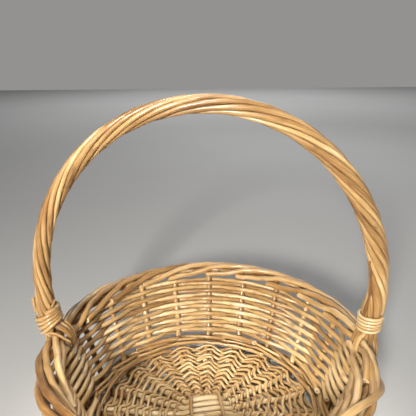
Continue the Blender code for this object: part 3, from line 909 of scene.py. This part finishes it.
class Bow:
    """The handle's centre line, read by the distance along it."""

    def __init__(self):
        top = np.array((0.0, 0.0, HANDLE_SPRING_Z + HANDLE_RISE))
        self.points = np.array(handle_line(1) + [top] + list(reversed(handle_line(-1))))
        steps = np.linalg.norm(np.diff(self.points, axis=0), axis=1)
        self.marks = np.concatenate(([0.0], np.cumsum(steps)))
        self.length = self.marks[-1]
        self.tied = self.marks[TIED_POINT]

    def at(self, distance):
        """Centre and in-plane outward normal at distances along the bow."""
        distance = np.atleast_1d(distance)
        centre = through(self.marks, self.points, distance)
        ahead = through(self.marks, self.points, distance + MM)
        along = unit(ahead - centre)
        return centre, unit(np.cross(SIDEWAYS, along))


def ring_radius(bow, distance):
    """How far the strands' centres stand from the bow, slimmer at the top."""
    return np.interp(np.asarray(distance) / bow.length, RING_SHARES, RING_RADII) * MM


def strand_turns(bow, distance):
    """Turns that the rope has made at distances from the right foot."""
    share = np.linspace(0.0, 1.0, 400)
    pitch = through(PITCH_SHARES, PITCHES, share)
    made = np.concatenate(([0.0], np.cumsum(1.0 / pitch[:-1])))
    made = made / made[-1] * STRAND_TURNS
    return np.interp(distance / bow.length, share, made)


def build_strands(bow):
    """The rope: rods laid side by side round the bow stick."""
    rng = np.random.default_rng(31)
    widths = rng.uniform(*STRAND_WIDTHS, STRAND_COUNT)
    widths = widths / widths.sum()
    middles = np.cumsum(widths) - widths / 2
    distance = np.linspace(bow.tied + 7 * MM, bow.length - bow.tied - 3 * MM, 130)
    centre, outward = bow.at(distance)
    ring = ring_radius(bow, distance)
    for index in range(STRAND_COUNT):
        turn = TAU * (middles[index] + strand_turns(bow, distance))
        away = outward * np.cos(turn)[:, None] + SIDEWAYS * np.sin(turn)[:, None]
        across = math.pi * ring * widths[index] * 0.97
        points = centre + away * ring[:, None]
        right, right_up, right_size = strand_tail(turn[0], 1, across[0])
        left, left_up, left_size = strand_tail(turn[-1], -1, across[-1])
        name = f"handle_strand_{index + 1}"
        rod(name, np.concatenate((right[::-1], points, left)),
            np.concatenate((right_size[::-1], across, left_size)), "willow_handle", (name,),
            up=np.concatenate((right_up, away, left_up)),
            flat=STRAND_DEPTH / float(across.mean()), tone=0.5, sides=14, wobble=0.15 * MM)


def strand_tail(turn, side, size):
    """Where a strand goes past the binding: down inside, over the outside, or into the border.

    Returns its points, its section's up vectors and its sizes.
    """
    facing, across = math.cos(turn), math.sin(turn)
    if facing < INNER_TAIL:
        stations = TAILS_INSIDE[side]
    elif facing > OUTER_TAIL:
        stations = TAILS_OUTSIDE
    else:
        stations = ((7.5 + 7 * facing, 6.0, 8.0), (5.0 + 5 * facing, -1.0, 7.0),
                    (2.0 + 4 * facing, -8.0, 6.0))
    points = [np.array((side * (RIM_AX + out * MM), reach * across * MM, BORDER_Z + up * MM))
              for out, up, reach in stations]
    away = np.array((side * facing, across, 0.0))
    sizes = np.linspace(size, TAIL_TIP, len(stations) + 1)[1:]
    return np.array(points), np.array([away] * len(stations)), sizes


def handle_binding(name, bow, side):
    """Coil that ties the rope to the bow just above the border."""
    thick, rounds, start, tilt, more_tilt = BINDINGS[side]
    turns = np.linspace(0.0, rounds, int(rounds * 16))
    distance = bow.tied + start + 2.02 * thick * turns
    foot_end = np.where(side < 0, bow.length - distance, distance)
    radius = ring_radius(bow, foot_end) + STRAND_DEPTH + thick * 0.75
    distance = distance + (tilt + more_tilt * turns) * radius * np.cos(TAU * turns)
    if side < 0:
        distance = bow.length - distance
    centre, outward = bow.at(distance)
    away = outward * np.cos(TAU * turns)[:, None] + SIDEWAYS * np.sin(TAU * turns)[:, None]
    return rod(name, centre + away * radius[:, None], thick, "willow_binding", (name,),
               tone=0.50, step=1.8 * MM, sides=12, wobble=0.1 * MM)


def loose_ends(bow):
    """Short ends seen at the feet: a stub, a nub, a red sliver and the tail of a binding."""
    foot = "handle_binding_left"
    rod("handle_stub", np.array(STUB) * MM, (2.0 * MM, 1.5 * MM), "willow_handle", (foot,),
        tone=0.3)
    rod("handle_nub", np.array(NUB) * MM, (1.6 * MM, 1.2 * MM), "willow_handle", (foot,),
        tone=0.3)
    distance = bow.tied + np.linspace(24.0, 92.0, 12) * MM
    centre, outward = bow.at(distance)
    away = -0.90 * outward - 0.44 * SIDEWAYS
    reach = ring_radius(bow, distance) + 1.9 * MM
    rod("handle_sliver", centre + away * reach[:, None], (1.8 * MM, 1.2 * MM), "willow_handle",
        ("handle_strand_1",), tone=-0.1, tone_spread=0.0)
    rod("binding_tail", np.array(BINDING_TAIL) * MM, (1.5 * MM, 1.1 * MM), "willow_binding",
        (foot,), tone=0.6, step=1.5 * MM, scars=False)


# ---- the basket ---------------------------------------------------------
build_base_sticks()
build_base_weavers()
slath_binding("slath_binding_1", True, 4.5 * MM)
slath_binding("slath_binding_2", False, 0.2 * MM)
for stake_number in range(STAKE_COUNT):
    stake(stake_number)
for wale_number in range(3):
    wale_rod(wale_number)
corner_rods()
upsett_butts()
border_stub()
border_loop()
build_side_weavers()
filler_rod()
bow = Bow()
rod("handle_core", bow.points, (CORE_RADIUS, CORE_RADIUS), "willow_stick", ("handle_core",),
    tone=0.3, wobble=0.0)
build_strands(bow)
handle_binding("handle_binding_right", bow, 1)
handle_binding("handle_binding_left", bow, -1)
loose_ends(bow)


# ---- floor, light and camera --------------------------------------------
def floor():
    """Plain pale floor under the basket."""
    s = Shading("pale_floor")
    mottle = s.noise(s.node("ShaderNodeTexCoord").outputs["Object"], 4.0)
    s.put(s.shader.inputs["Base Color"], s.ramp(mottle, FLOOR_COLOURS))
    s.put(s.shader.inputs["Roughness"], 0.75)
    mesh = bpy.data.meshes.new("floor")
    corners = [(x * FLOOR_HALF, y * FLOOR_HALF, 0.0)
               for x, y in ((-1, -1), (1, -1), (1, 1), (-1, 1))]
    mesh.from_pydata(corners, [], [(0, 1, 2, 3)])
    mesh.materials.append(s.material)
    made = bpy.data.objects.new("floor", mesh)
    bpy.context.scene.collection.objects.link(made)


def lamp(name, kind, place, aim, power, colour):
    """Lamp at a place, turned towards an aim."""
    data = bpy.data.lights.new(name, kind)
    data.energy = power
    data.color = colour
    made = bpy.data.objects.new(name, data)
    made.location = place
    made.rotation_mode = "QUATERNION"
    made.rotation_quaternion = (Vector(aim) - Vector(place)).to_track_quat("-Z", "Y")
    bpy.context.scene.collection.objects.link(made)
    return made


def area_light(name, place, aim, size, power, colour, spread=180.0):
    """Soft box that the camera doesn't see; spread is how wide it shines, in degrees."""
    made = lamp(name, "AREA", place, aim, power, colour)
    made.visible_camera = False
    made.data.shape = "DISK"
    made.data.spread = math.radians(spread)
    made.data.size = size


def spot_light(name, place, aim, angle, power, colour):
    """Soft edged spot; angle is how wide it shines, in degrees."""
    made = lamp(name, "SPOT", place, aim, power, colour)
    made.data.spot_size = math.radians(angle)
    made.data.spot_blend = 0.8
    made.data.shadow_soft_size = 0.07


def studio_world():
    """Weak even light, and a plain grey where the camera sees past the floor."""
    world = bpy.data.worlds.new("studio")
    world.use_nodes = True
    tree = world.node_tree
    sky = tree.nodes["Background"]
    sky.inputs["Color"].default_value = (0.92, 0.90, 0.88, 1.0)
    rays = tree.nodes.new("ShaderNodeLightPath")
    seen = tree.nodes.new("ShaderNodeMapRange")
    seen.inputs["To Min"].default_value = WORLD_LIGHT
    seen.inputs["To Max"].default_value = WORLD_SEEN
    tree.links.new(rays.outputs["Is Camera Ray"], seen.inputs["Value"])
    tree.links.new(seen.outputs["Result"], sky.inputs["Strength"])
    bpy.context.scene.world = world


def camera():
    """Camera at its place, rolled a little."""
    level_up = np.cross(CAMERA_RIGHT, CAMERA_FORWARD)
    forward = unit(CAMERA_FORWARD)
    right = CAMERA_RIGHT * math.cos(CAMERA_ROLL) - level_up * math.sin(CAMERA_ROLL)
    right = unit(right - forward * forward.dot(right))
    upward = np.cross(right, forward)
    data = bpy.data.cameras.new("camera")
    data.lens = CAMERA_LENS
    data.sensor_width = 36.0
    data.clip_start = 0.01
    made = bpy.data.objects.new("camera", data)
    axes = np.column_stack((right, upward, -forward, np.array(CAMERA_PLACE)))
    made.matrix_world = Matrix([list(row) for row in axes] + [[0, 0, 0, 1]])
    bpy.context.scene.collection.objects.link(made)
    bpy.context.scene.camera = made


floor()
studio_world()
bpy.context.scene.view_settings.view_transform = "Standard"
# Name, place, aim, size or angle, power in watts, colour, and the key's spread.
area_light("key", (-0.30, -1.20, 0.70), (0.0, 0.0, 0.08), 0.22, 9.2, (1.0, 0.96, 0.90), 95.0)
area_light("backdrop", (0.0, 4.0, 3.0), (0.0, 4.4, 0.0), 3.0, 92.0, (0.98, 0.98, 1.0))
area_light("fill", (1.1, -0.4, 0.7), (0.0, 0.0, 0.10), 0.9, 1.6, (0.92, 0.96, 1.0))
area_light("back_fill", (0.6, 1.6, 1.2), (0.0, 0.0, 0.10), 1.2, 5.0, (0.96, 0.97, 1.0))
spot_light("base", (-0.08, -0.32, 1.2), (0.0, -0.035, 0.0), 22.0, 46.0, (1.0, 0.97, 0.92))

camera()
